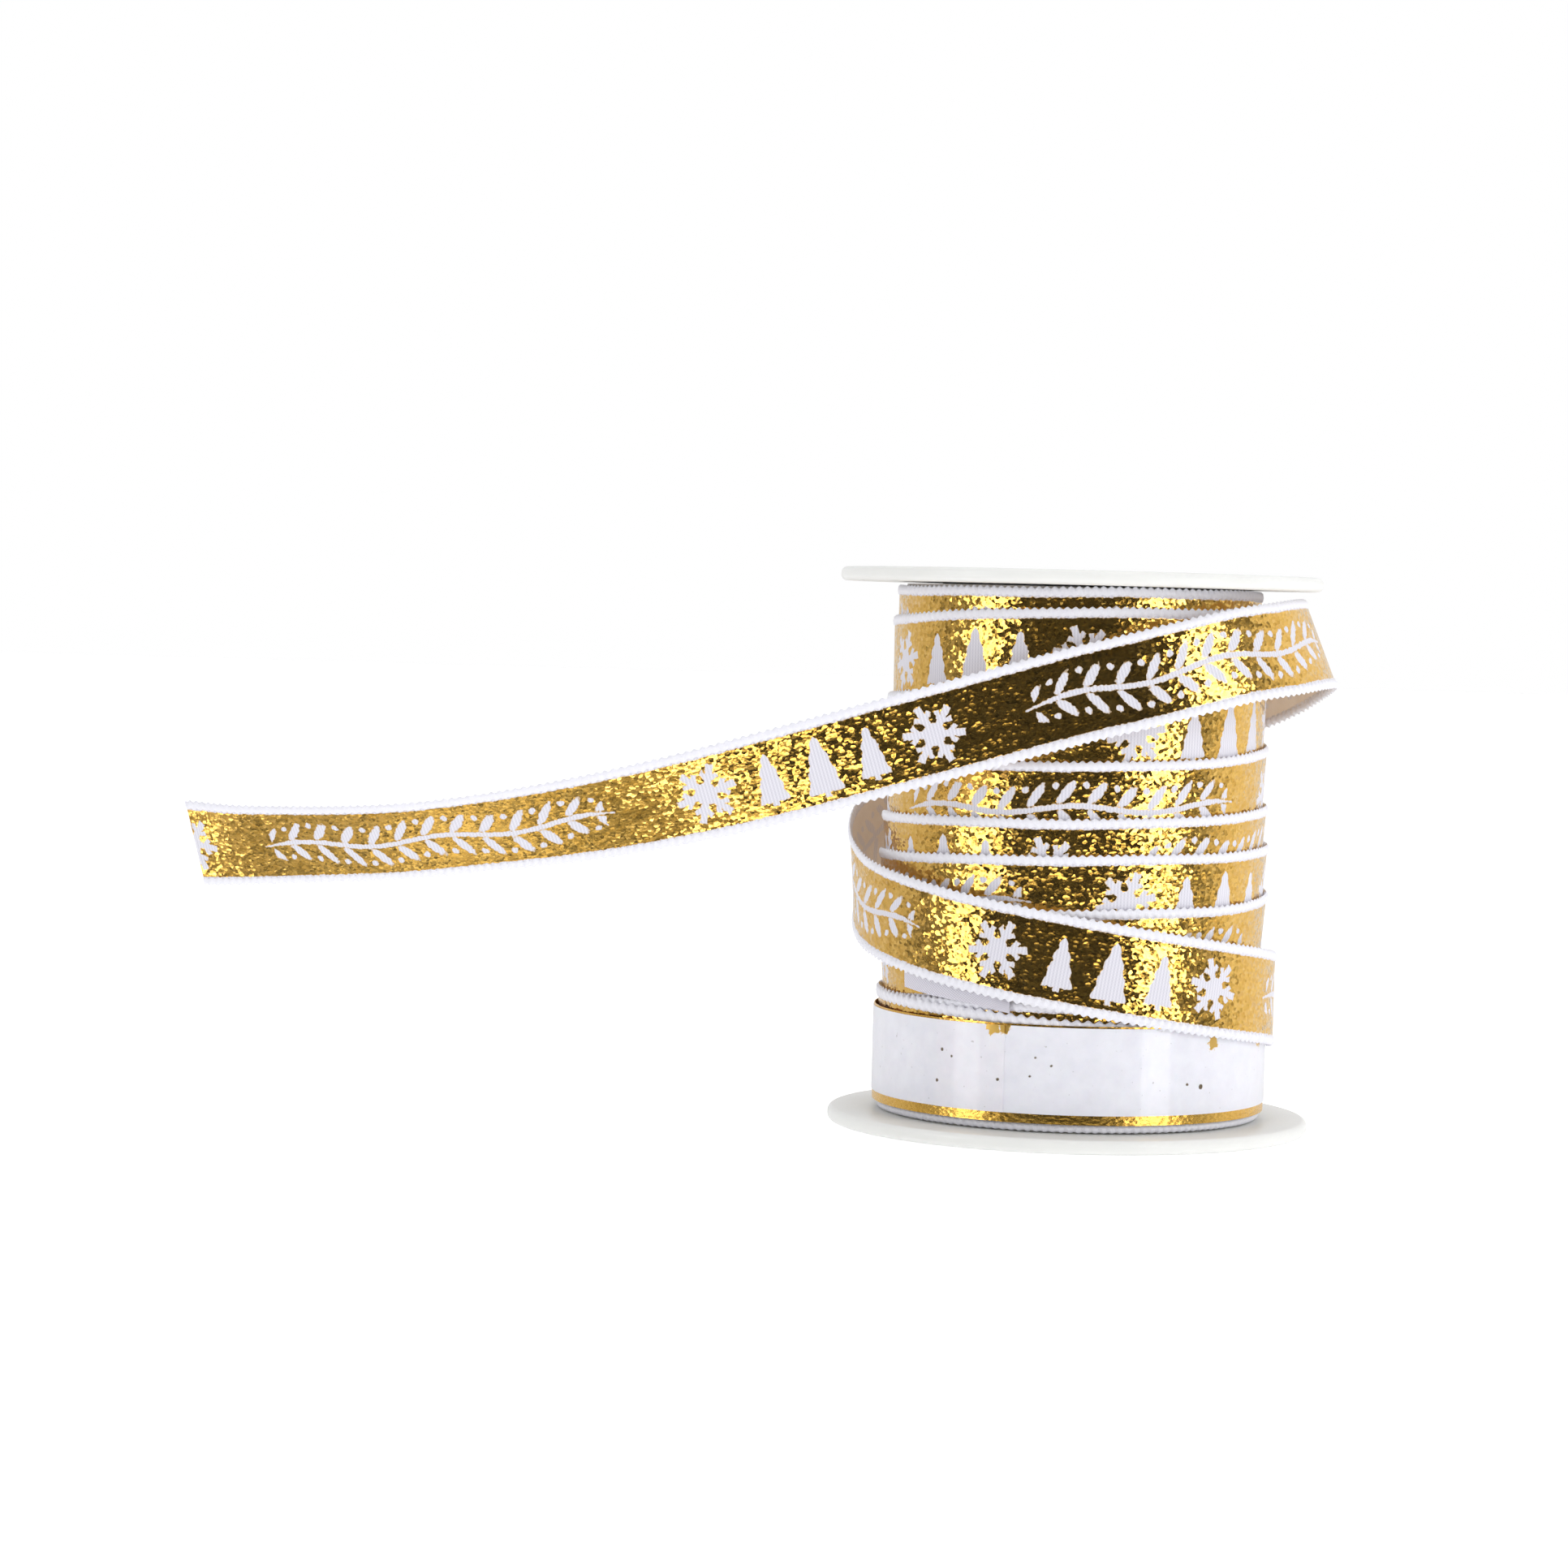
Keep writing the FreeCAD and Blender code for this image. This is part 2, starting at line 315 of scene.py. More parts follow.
# Light from above: place, size, brightness
TOP_LIGHT = ((0.0, 0.1, 1.2), (1.4, 1.2), 0.8)
FLOOR_HALF_SIZE = 3.0
FLOOR_DROP = -0.00005
FLOOR_GLOW = 0.5
FLOOR_SHADE = (0.8, 0.8, 0.8, 1.0)
FLOOR_LIGHT = (0.84, 0.84, 0.84, 1.0)


# ================================================================ ribbon routes
def smooth(rows, positions, slope_share=1.0):
    """Columns of values at positions, on smooth curves through rows that begin with a position."""
    rows = np.asarray(rows, float)
    keys, values = rows[:, 0], rows[:, 1:]
    slopes = np.empty_like(values)
    slopes[1:-1] = (values[2:] - values[:-2]) / (keys[2:] - keys[:-2])[:, None]
    slopes[0] = (values[1] - values[0]) / (keys[1] - keys[0])
    slopes[-1] = (values[-1] - values[-2]) / (keys[-1] - keys[-2])
    slopes *= slope_share
    positions = np.asarray(positions, float)
    index = np.clip(np.searchsorted(keys, positions, side="right") - 1, 0, len(keys) - 2)
    span = (keys[index + 1] - keys[index])[:, None]
    part = ((positions - keys[index]) / span[:, 0])[:, None]
    start, end = values[index], values[index + 1]
    first, second = slopes[index] * span, slopes[index + 1] * span
    rise = end - start
    cubic = first + second - 2 * rise
    square = 3 * rise - 2 * first - second
    return (start + part * (first + part * (square + part * cubic))).T


def polar(radius, azimuth, height):
    """Points with azimuth 0 at the front and 90 on the right."""
    angle = np.radians(azimuth)
    return np.stack([radius * np.sin(angle), -radius * np.cos(angle), height + 0 * angle], axis=-1)


def unit(vectors):
    return vectors / np.linalg.norm(vectors, axis=-1, keepdims=True)


def pack_wander(azimuth):
    """Small unevenness of the wound pack, the same for every turn so that none cuts another."""
    angle = np.radians(azimuth)
    return sum(depth * np.sin(waves * angle + shift) for depth, waves, shift in PACK_WAVES)


def edge_wander(run):
    """How far a wound turn strays up and down along its run."""
    return sum(height * np.sin(run / length) for height, length in EDGE_WAVES) - EDGE_DROP


def frames_between(low_edge, high_edge, azimuth):
    """Centres, width directions and outward directions of a strip between two edge lines."""
    across = unit(high_edge - low_edge)
    along = polar(1.0, azimuth + 90, 0.0)
    facing = unit(np.cross(along, across))
    return (low_edge + high_edge) / 2, across, facing


def wound_frames(run):
    """Frames along the whole wound helix. The run is 0 where the first turn crosses the front."""
    run = np.asarray(run, float)
    rows = [(-360.0 * (index - 1), *row[:3]) for index, row in enumerate(WOUND_TURNS)]
    rows.reverse()
    azimuth = np.degrees(run / WOUND_RADIUS)
    height, low_radius, high_radius = smooth(rows, azimuth, FRONT_SLOPE)
    height = height + edge_wander(run)
    sway = pack_wander(azimuth)
    low_edge = polar(low_radius + sway, azimuth, height - RIBBON_WIDTH)
    high_edge = polar(high_radius + sway, azimuth, height)
    return frames_between(low_edge, high_edge, azimuth)


def banded_frames(run):
    """Frames along the turn under the band. The run is 0 at the front."""
    azimuth = np.degrees(np.asarray(run, float) / WOUND_RADIUS)
    height, low_radius, high_radius = smooth(BANDED_TURN, azimuth)
    sway = pack_wander(azimuth) * BANDED_SWAY
    low_edge = polar(low_radius + sway, azimuth, height - RIBBON_WIDTH)
    high_edge = polar(high_radius + sway, azimuth, height)
    return frames_between(low_edge, high_edge, azimuth)


def loose_route():
    """Rows of run, x, y, z and lean along the loose ribbon, from the tail's cut end."""
    count = math.ceil(LOOSE_COIL[-1][0] / COIL_STEP)
    azimuth = np.linspace(LOOSE_COIL[0][0], LOOSE_COIL[-1][0], count + 1)
    radius, height, lean = smooth(LOOSE_COIL, azimuth)
    coil = np.column_stack([polar(radius, azimuth, height), lean])
    points = np.vstack([TAIL, coil])
    run = np.concatenate([[0.0], np.cumsum(np.linalg.norm(np.diff(points[:, :3], axis=0), axis=1))])
    coil_runs = dict(zip(azimuth.round(3), run[len(TAIL):]))
    return np.column_stack([run, points]), coil_runs


ROUTE, COIL_RUNS = loose_route()


def run_at_azimuth(azimuth):
    """Run along the loose ribbon where its coil reaches an azimuth."""
    return float(np.interp(azimuth, list(COIL_RUNS), list(COIL_RUNS.values())))


def loose_frames(run):
    """Frames along the loose ribbon. The run is 0 at the tail's cut end."""
    run = np.asarray(run, float)
    before = np.stack(smooth(ROUTE, np.maximum(run - ROUTE_STEP, 0.0))[:3], axis=-1)
    after = np.stack(smooth(ROUTE, np.minimum(run + ROUTE_STEP, ROUTE[-1, 0]))[:3], axis=-1)
    x, y, z, lean = smooth(ROUTE, run)
    along = unit(after - before)
    outward = unit(np.cross(along, [0.0, 0.0, 1.0]))
    upward = np.cross(outward, along)
    tilt = np.radians(lean)[:, None]
    facing = outward * np.cos(tilt) + upward * np.sin(tilt)
    across = upward * np.cos(tilt) - outward * np.sin(tilt)
    return np.stack([x, y, z], axis=-1), across, facing


# ================================================================ printed pattern along a run
def pattern_stretch(start, start_phase, end, end_phase):
    """Pattern position between two places where it is known. Between them, a whole wave of a
    garland is repeated, and the rest of the difference is spread evenly."""
    extra = GARLAND_WAVE
    length = end - start
    wanted = (end_phase - start_phase + extra - length + REPEAT / 2) % REPEAT - REPEAT / 2
    scale = 1 + wanted / length
    middle = (start_phase + scale * length / 2) % REPEAT
    safe_start, safe_end = GARLAND_START + LEAFLESS_END + extra, GARLAND_END - LEAFLESS_END
    nearest = min(
        (safe_start, safe_end, safe_start + REPEAT, safe_end - REPEAT),
        key=lambda place: abs(place - middle),
    )
    if safe_start <= middle <= safe_end:
        nearest = middle
    turn_back = start + length / 2 + (nearest - middle) / scale

    def phase(run, sample):
        position = start_phase + scale * (run - start)
        return position - extra * (sample > turn_back)

    return phase


def pattern_along(places, reach):
    """Pattern position along a run, from places (run, phase) where it is known. It runs true
    for a reach each side of a place. The sample says on which side of a jump a point is read."""
    parts = []
    for (first, first_phase), (second, second_phase) in zip(places, places[1:]):
        start, end = first + reach, second - reach
        stretch = pattern_stretch(start, first_phase + reach, end, second_phase - reach)
        parts.append((start, end, stretch))

    def phase(run, sample):
        first, first_phase = places[0]
        result = first_phase + run - first
        for (start, end, stretch), (place, place_phase) in zip(parts, places[1:]):
            result = np.where(sample > start, stretch(run, sample), result)
            result = np.where(sample > end, place_phase + run - place, result)
        return result

    return phase


def wound_pattern():
    """Pattern along the whole wound helix, over runs counted from the first turn's front."""
    places = []
    for index, row in enumerate(WOUND_TURNS):
        places.append((-TURN_LENGTH * (index - 1), row[3]))
    places.reverse()
    return pattern_along(places, WOUND_REACH)


def loose_pattern():
    """Pattern along the loose ribbon, which is known on the tail and again on the diagonal."""
    front = run_at_azimuth(0.0)
    diagonal = run_at_azimuth(DIAGONAL_AZIMUTH)
    places = [(front, front + TAIL_PHASE), (diagonal, DIAGONAL_PHASE)]
    return pattern_along(places, LOOSE_REACH)


# ================================================================ meshes
def new_mesh(name, vertices, faces, uvs, slots, materials):
    """Object from points in millimetres, faces, face-corner UVs and a material number per face."""
    mesh = bpy.data.meshes.new(name)
    mesh.from_pydata((np.asarray(vertices) * MM).tolist(), [], faces)
    layer = mesh.uv_layers.new(name="pattern")
    layer.data.foreach_set("uv", np.asarray(uvs, np.float32).ravel())
    for material in materials:
        mesh.materials.append(material)
    mesh.polygons.foreach_set("material_index", np.asarray(slots, np.int32))
    mesh.polygons.foreach_set("use_smooth", np.ones(len(faces), bool))
    mesh.set_sharp_from_angle(angle=math.radians(SHARP_ANGLE))
    mesh.update()
    thing = bpy.data.objects.new(name, mesh)
    bpy.context.scene.collection.objects.link(thing)
    return thing


class Builder:
    """Collects tubes of any cross-section into one mesh."""

    def __init__(self):
        self.vertices, self.faces, self.uvs, self.slots = [], [], [], []
        self.count = 0

    def tube(self, points, across_uv, along_uv, slots, cap_slot):
        """points: stations x ring x 3. across_uv: one value at each end of each ring side.
        along_uv: one value at each end of each station step. slots: one per ring side."""
        stations, ring = points.shape[:2]
        index = self.count + np.arange(stations * ring).reshape(stations, ring)
        after = np.roll(index, -1, axis=1)
        quads = np.stack([index[:-1], index[1:], after[1:], after[:-1]], axis=-1)
        u_start, u_end = along_uv[0][:, None], along_uv[1][:, None]
        v_here, v_after = across_uv[0][None, :], across_uv[1][None, :]
        shape = (stations - 1, ring)
        u_corners = (u_start, u_end, u_end, u_start)
        v_corners = (v_here, v_here, v_after, v_after)
        u = np.stack([np.broadcast_to(part, shape) for part in u_corners], axis=-1)
        v = np.stack([np.broadcast_to(part, shape) for part in v_corners], axis=-1)
        self.vertices.extend(points.reshape(-1, 3).tolist())
        self.faces.extend(quads.reshape(-1, 4).tolist())
        self.uvs.extend(np.stack([u, v], -1).reshape(-1, 2).tolist())
        self.slots.extend(np.tile(slots, stations - 1).tolist())
        start_place, end_place = float(along_uv[0][0]), float(along_uv[1][-1])
        for face, place, order in ((index[0], start_place, 1), (index[-1], end_place, -1)):
            self.faces.append(face[::order].tolist())
            self.uvs.extend((place, float(value)) for value in across_uv[0][::order])
            self.slots.append(cap_slot)
        self.count += stations * ring

    def finish(self, name, materials):
        return new_mesh(name, self.vertices, self.faces, self.uvs, self.slots, materials)


def stations_between(start, end, step):
    """Evenly spaced runs from start to end, no more than a step apart."""
    return np.linspace(start, end, max(3, math.ceil(abs(end - start) / step) + 1))


def lifted(frames, run, across_place, height):
    """Points of a strip at places across its width and heights above its middle surface."""
    centre, across, facing = frames(run)
    return (
        centre[:, None, :]
        + across[:, None, :] * across_place[..., None]
        + facing[:, None, :] * height[..., None]
    )


def ribbon(name, frames, pattern, start, end, materials, cord_scale=1.0):
    """Stretch of ribbon: printed cloth with a woven reverse, and a twisted cord along each edge."""
    builder = Builder()
    face, reverse, cord = 0, 1, 2
    run = stations_between(start, end, CLOTH_STEP)
    columns = np.linspace(-CLOTH_HALF_WIDTH, CLOTH_HALF_WIDTH, CLOTH_COLUMNS + 1)
    place = np.concatenate([columns, columns[::-1]])
    half = np.full(CLOTH_COLUMNS + 1, CLOTH_THICKNESS / 2)
    height = np.concatenate([half, -half])
    count = len(run)
    points = lifted(frames, run, np.tile(place, (count, 1)), np.tile(height, (count, 1)))
    middle = (run[:-1] + run[1:]) / 2
    along = (pattern(run[:-1], middle), pattern(run[1:], middle))
    sides = [face] * CLOTH_COLUMNS + [cord] + [reverse] * CLOTH_COLUMNS + [cord]
    builder.tube(points, (place, np.roll(place, -1)), along, np.array(sides), cord)

    run = stations_between(start, end, CORD_STEP)
    turn = np.arange(CORD_POINTS) * TAU / CORD_POINTS
    for side in (-1, 1):
        wave = np.sin(turn[None, :] - side * TAU * run[:, None] / (CORD_PITCH * cord_scale))
        ridge = cord_scale * (1 - CORD_RIDGE * (0.5 - 0.5 * wave))
        place = side * CORD_CENTRE + CORD_HALF_WIDTH * np.cos(turn)[None, :] * ridge
        height = CORD_HALF_THICKNESS * np.sin(turn)[None, :] * ridge
        points = lifted(frames, run, place, height)
        around_cord = (turn[::-1], (turn + TAU / CORD_POINTS)[::-1])
        slots = np.full(CORD_POINTS, cord)
        builder.tube(points[:, ::-1], around_cord, (run[:-1], run[1:]), slots, cord)
    return builder.finish(name, materials)


# ================================================================ material helpers
class Field:
    """A number that varies over a surface. Arithmetic on fields adds math nodes to the tree."""

    def __init__(self, tree, socket):
        self.tree = tree
        self.socket = socket

    def apply(self, operation, *others):
        return calc(self.tree, operation, self, *others)

    def __add__(self, other):
        return self.apply("ADD", other)

    def __sub__(self, other):
        return self.apply("SUBTRACT", other)

    def __rsub__(self, other):
        return calc(self.tree, "SUBTRACT", other, self)

    def __mul__(self, other):
        return self.apply("MULTIPLY", other)

    def __abs__(self):
        return self.apply("ABSOLUTE")

    def __neg__(self):
        return self * -1.0


def feed(tree, value, socket):
    """Gives a node's input a field, another node's output, or a plain value."""
    if isinstance(value, Field):
        value = value.socket
    if isinstance(value, bpy.types.NodeSocket):
        tree.links.new(value, socket)
    else:
        socket.default_value = value


def calc(tree, operation, *values, clamp=False):
    node = tree.nodes.new("ShaderNodeMath")
    node.operation = operation
    node.use_clamp = clamp
    for value, socket in zip(values, node.inputs):
        feed(tree, value, socket)
    return Field(tree, node.outputs[0])


def largest(first, *others):
    for other in others:
        first = first.apply("MAXIMUM", other)
    return first


def smallest(first, *others):
    for other in others:
        first = first.apply("MINIMUM", other)
    return first


def add_node(tree, kind, inputs, **settings):
    node = tree.nodes.new(kind)
    for key, value in settings.items():
        setattr(node, key, value)
    for key, value in inputs.items():
        feed(tree, value, node.inputs[key])
    return node


def new_material(name, **sockets):
    """Material with one Principled shader, its sockets set by name with _ for a space."""
    material = bpy.data.materials.new(name)
    material.use_nodes = True
    tree = material.node_tree
    shader = tree.nodes["Principled BSDF"]
    for key, value in sockets.items():
        shader.inputs[key.replace("_", " ")].default_value = value
    return material, tree, shader


def separate(tree, vector):
    node = add_node(tree, "ShaderNodeSeparateXYZ", {"Vector": vector})
    return [Field(tree, output) for output in node.outputs]


def combine(tree, x, y, z=0.0):
    return add_node(tree, "ShaderNodeCombineXYZ", {"X": x, "Y": y, "Z": z}).outputs[0]


def noise(tree, vector, scale, detail=2.0, roughness=0.5):
    """Noise from 0 to 1, with scale in cells per unit of the vector."""
    inputs = {"Vector": vector, "Scale": scale, "Detail": detail, "Roughness": roughness}
    return Field(tree, add_node(tree, "ShaderNodeTexNoise", inputs).outputs[0])


def cells(tree, vector, scale, smoothness=0.35):
    """Smooth distance to the nearest cell centre, for a pebbled surface."""
    inputs = {"Vector": vector, "Scale": scale, "Smoothness": smoothness}
    node = add_node(tree, "ShaderNodeTexVoronoi", inputs, feature="SMOOTH_F1")
    return Field(tree, node.outputs["Distance"])


def blend_colour(tree, factor, first, second):
    """Colour that goes from first to second as the factor goes from 0 to 1."""
    node = add_node(tree, "ShaderNodeMix", {"Factor": factor}, data_type="RGBA")
    # A Mix node has sockets for numbers and vectors before those for colours.
    first_socket, second_socket, result = node.inputs[6], node.inputs[7], node.outputs[2]
    feed(tree, first, first_socket)
    feed(tree, second, second_socket)
    return result


def blend_number(factor, first, second):
    """Number that goes from first to second as the factor goes from 0 to 1."""
    return factor * (second - first) + first


def bump(tree, height, depth):
    """Surface normal for a height field of 0 to 1 that is depth millimetres deep."""
    inputs = {"Height": height, "Distance": depth * MM, "Strength": 1.0}
    return add_node(tree, "ShaderNodeBump", inputs).outputs[0]


def grains(tree, vector, scale):
    """Three values from 0 to 1 of its own for each small grain of the surface."""
    inputs = {"Vector": vector, "Scale": scale}
    return add_node(tree, "ShaderNodeTexVoronoi", inputs).outputs["Color"]


def tilted_grains(tree, grain, normal, amount):
    """Normal that leans its own way in each grain, by up to half the amount on each axis."""

    def vector_math(operation, inputs):
        return add_node(tree, "ShaderNodeVectorMath", inputs, operation=operation).outputs[0]

    centred = vector_math("SUBTRACT", {0: grain, 1: (0.5, 0.5, 0.5)})
    leaning = vector_math("SCALE", {0: centred, "Scale": amount})
    total = vector_math("ADD", {0: leaning, 1: normal})
    return vector_math("NORMALIZE", {0: total})


def inside(distance, softness):
    """1 inside a shape, 0 outside it, over a soft edge, from its signed distance."""
    return calc(distance.tree, "MULTIPLY_ADD", distance, -1.0 / softness, 0.5, clamp=True)


# ================================================================ printed motifs
def fir_tree(x, y, height, base):
    """Signed distance from a narrow fir tree with wavy sides and a stub of a trunk."""
    down = calc(x.tree, "MAXIMUM", (y * -1.0 + height / 2) * (1 / height), 0.0)
    wave = (down * (TAU * FIR_WAVES)).apply("SINE") * FIR_WAVE_DEPTH
    side = abs(x) - down.apply("POWER", FIR_TAPER) * (base / 2) - wave
    crown = largest(side, abs(y) - height / 2)
    trunk = largest(abs(x) - TRUNK_HALF_WIDTH, abs(y + height / 2) - TRUNK_HALF_HEIGHT)
    return smallest(crown, trunk)


def snowflake(x, y, turned):
    """Signed distance from a chunky six-armed snowflake with a twig on each side of an arm."""
    angle = y.apply("ARCTAN2", x) + turned
    angle = abs(angle.apply("WRAP", TAU / 12, -TAU / 12))
    reach = (x * x + y * y).apply("SQRT")
    out = reach * angle.apply("COSINE")
    aside = reach * angle.apply("SINE")
    arm = largest(aside - ARM_HALF_WIDTH, out - ARM_LENGTH)
    slant = math.radians(TWIG_ANGLE)
    past_start = out - TWIG_START
    along = past_start * math.cos(slant) + aside * math.sin(slant)
    beside = abs(past_start * math.sin(slant) - aside * math.cos(slant))
    twig = largest(beside - TWIG_HALF_WIDTH, along - TWIG_LENGTH, -along - TWIG_ROOT)
    hub = reach - HUB_RADIUS
    return smallest(arm, twig, hub)


def ellipse(x, y, centre, tilt, long, short):
    """Signed distance, roughly, from an ellipse."""
    turn = math.radians(tilt)
    right = (x - centre[0]) * math.cos(turn) + (y - centre[1]) * math.sin(turn)
    up = (y - centre[1]) * math.cos(turn) - (x - centre[0]) * math.sin(turn)
    squares = (right * (1 / long)).apply("POWER", 2.0) + (up * (1 / short)).apply("POWER", 2.0)
    return (squares.apply("SQRT") - 1.0) * short


def garland(place, v):
    """Signed distance from an evergreen garland: a waving stem with slanting pairs of leaves."""
    tree = place.tree
    swing = (place * (TAU / GARLAND_WAVE)).apply("SINE") * STEM_SWING
    from_middle = place - (GARLAND_START + GARLAND_END) / 2
    to_end = abs(from_middle) * -1.0 + (GARLAND_END - GARLAND_START) / 2
    half_width = calc(tree, "MULTIPLY", to_end, STEM_TAPER, clamp=True) * STEM_HALF_WIDTH
    taper = calc(tree, "MULTIPLY_ADD", to_end, LEAF_TAPER, END_LEAF_SHARE, clamp=True)
    aside = abs(v - swing)
    stem = largest(aside - half_width, to_end * -1.0 + STEM_END)
    x = from_middle.apply("WRAP", LEAF_PITCH / 2, -LEAF_PITCH / 2)
    beside = aside.apply("DIVIDE", taper)
    leaf = ellipse(x, beside, LEAF_PLACE, LEAF_ANGLE, LEAF_HALF_LENGTH, LEAF_HALF_WIDTH)
    berry = ellipse(x, beside, BERRY_PLACE, 0, BERRY_RADIUS, BERRY_RADIUS)
    leaves = largest(smallest(leaf, berry), to_end * -1.0 + LEAFLESS_END)
    return smallest(stem, leaves)


def pattern_places(tree):
    """Position along the printed pattern and across the ribbon, both in millimetres."""
    node = add_node(tree, "ShaderNodeUVMap", {}, uv_map="pattern")
    u, v, _ = separate(tree, node.outputs[0])
    return u, v


def motifs(tree, u, v):
    """1 where the white satin shows in the pattern, 0 where the gold is."""
    place = u.apply("WRAP", REPEAT + GARLAND_START, GARLAND_START)
    from_group = place - LARGE_FIR
    beside = abs(from_group)
    flakes = snowflake(beside - SNOWFLAKE_OFFSET, v, math.radians(SNOWFLAKE_ANGLE))
    small_firs = fir_tree(beside - SMALL_FIR_OFFSET, v, *SMALL_FIR_SIZE)
    large_fir = fir_tree(from_group, v, *LARGE_FIR_SIZE)
    ragged = (noise(tree, combine(tree, u, v), 2.4, 3.0, 0.6) - 0.5) * PRINT_RAGGEDNESS
    border = abs(v) * -1.0 + PRINT_HALF_WIDTH
    shape = smallest(flakes, small_firs, large_fir, garland(place, v), border) + ragged
    return inside(shape, PRINT_SOFTNESS)


# ================================================================ ribbon materials
def printed_face():
    """Gold foil printed on white satin, with the motifs left white."""
    material, tree, shader = new_material("gold_print_on_satin", Sheen_Weight=0.12)
    u, v = pattern_places(tree)
    place = combine(tree, u, v)
    white = motifs(tree, u, v)

    long_place = combine(tree, u * FOIL_STRETCH, v)
    crease = cells(tree, long_place, CREASES_PER_MM)
    fine = noise(tree, long_place, FINE_CREASES_PER_MM, 3.0, 0.6)
    foil_height = crease * 0.75 + fine * 0.5
    rows = (u * (TAU / WEAVE_PITCH)).apply("SINE")
    dots = (v * (TAU / (WEAVE_PITCH * 0.9))).apply("SINE")
    weave_height = (rows * 0.5 + rows * dots * 0.3) * 0.35 + 0.5

    drift = noise(tree, place, 0.35, 3.0)
    grain = grains(tree, long_place, GRAINS_PER_MM)
    # Painted glint: each grain's third value makes the gold brighter or darker, standing in for
    # grains that catch the light. The slow drift is random tone of the foil.
    brightness = separate(tree, grain)[2]
    gold = blend_colour(tree, drift * 0.5 + brightness * 0.5, GOLD_DEEP, GOLD_BRIGHT)
    satin = blend_colour(tree, weave_height, SATIN_SHADE, SATIN_LIGHT)
    feed(tree, blend_colour(tree, white, gold, satin), shader.inputs["Base Color"])
    feed(tree, 1.0 - white, shader.inputs["Metallic"])
    foil_roughness = blend_number(fine, 0.1, 0.2)
    feed(tree, foil_roughness + white * 0.4, shader.inputs["Roughness"])
    height = foil_height + white * (weave_height * WEAVE_SHARE - foil_height)
    relief = bump(tree, height, FOIL_DEPTH)
    tilt = (1.0 - white) * GRAIN_TILT
    feed(tree, tilted_grains(tree, grain, relief, tilt), shader.inputs["Normal"])
    return material


def woven_reverse():
    """Back of the ribbon: satin weave with the gold showing through as beige."""
    material, tree, shader = new_material("satin_reverse", Sheen_Weight=0.25, Roughness=0.55)
    u, v = pattern_places(tree)
    white = motifs(tree, u, v)
    rows = (u * (TAU / WEAVE_PITCH)).apply("SINE")
    twill = ((u + v * 0.6) * (TAU / (WEAVE_PITCH * 1.3))).apply("SINE")
    threads = (rows * 0.5 + twill * 0.4) * 0.4 + 0.5
    cloud = noise(tree, combine(tree, u, v), 0.6, 3.0)
    through = blend_colour(tree, cloud, REVERSE_SHADE, REVERSE_LIGHT)
    plain = blend_colour(tree, threads, SATIN_SHADE, SATIN_LIGHT)
    feed(tree, blend_colour(tree, white * 0.55, through, plain), shader.inputs["Base Color"])
    feed(tree, blend_number(threads, 0.62, 0.46), shader.inputs["Roughness"])
    feed(tree, bump(tree, threads, REVERSE_DEPTH), shader.inputs["Normal"])
    return material


def flap_satin():
    """White satin reverse on the folded corner, where no gold lies behind."""
    material, tree, shader = new_material("flap_satin", Sheen_Weight=0.25)
    u, v = pattern_places(tree)
    twill = ((u * 0.8 + v) * (TAU / FLAP_TWILL_PITCH)).apply("SINE")
    cross = ((u - v * 0.5) * (TAU / FLAP_CROSS_PITCH)).apply("SINE")
    threads = (twill * 0.6 + cross * 0.3) * 0.4 + 0.5
    feed(tree, blend_colour(tree, threads, FLAP_SHADE, SATIN_LIGHT), shader.inputs["Base Color"])
    feed(tree, blend_number(threads, 0.65, 0.45), shader.inputs["Roughness"])
    feed(tree, bump(tree, threads, FLAP_DEPTH), shader.inputs["Normal"])
    return material


def cord_yarn():
    """White yarn of the corded edges: strands wound round the cord, slightly glossy."""
    material, tree, shader = new_material("selvedge_yarn", Sheen_Weight=0.3)
    u, v = pattern_places(tree)
    strands = (v * 5.0 + u * (TAU / STRAND_PITCH)).apply("SINE") * 0.5 + 0.5
    fuzz = noise(tree, combine(tree, u * 2.0, v * 0.5), 4.0, 3.0, 0.6)
    feed(tree, blend_colour(tree, fuzz, YARN_SHADE, YARN_LIGHT), shader.inputs["Base Color"])
    feed(tree, blend_number(fuzz, 0.42, 0.62), shader.inputs["Roughness"])
    feed(tree, bump(tree, strands * 0.6 + fuzz * 0.4, YARN_DEPTH), shader.inputs["Normal"])
    return material


# ================================================================ spool, band and label materials
def object_places(tree):
    """Vector of object coordinates in millimetres."""
    source = add_node(tree, "ShaderNodeTexCoord", {}).outputs["Object"]
    inputs = {0: source, "Scale": 1 / MM}
    return add_node(tree, "ShaderNodeVectorMath", inputs, operation="SCALE").outputs[0]


def around(x, y, radius):
    """Distance round the spool in millimetres, 0 at the front and growing to the right."""
    return x.apply("ARCTAN2", y * -1.0) * radius


def milky_plastic(name, gloss):
    """Slightly translucent white moulded plastic, with faint flow marks and a fine grain."""
    material, tree, shader = new_material(
        name, Subsurface_Weight=0.55, Subsurface_Scale=0.0022, Subsurface_Radius=(1.0, 1.0, 0.95),
        IOR=1.49,
    )
    place = object_places(tree)
    flow = noise(tree, place, 0.12, 3.0, 0.55)
    grain = noise(tree, place, 3.0, 2.0)
    feed(tree, blend_colour(tree, flow, PLASTIC_SHADE, PLASTIC_LIGHT), shader.inputs["Base Color"])
    feed(tree, blend_number(grain, gloss, gloss + 0.14), shader.inputs["Roughness"])
    feed(tree, bump(tree, flow * 0.7 + grain * 0.3, PLASTIC_DEPTH), shader.inputs["Normal"])
    return material


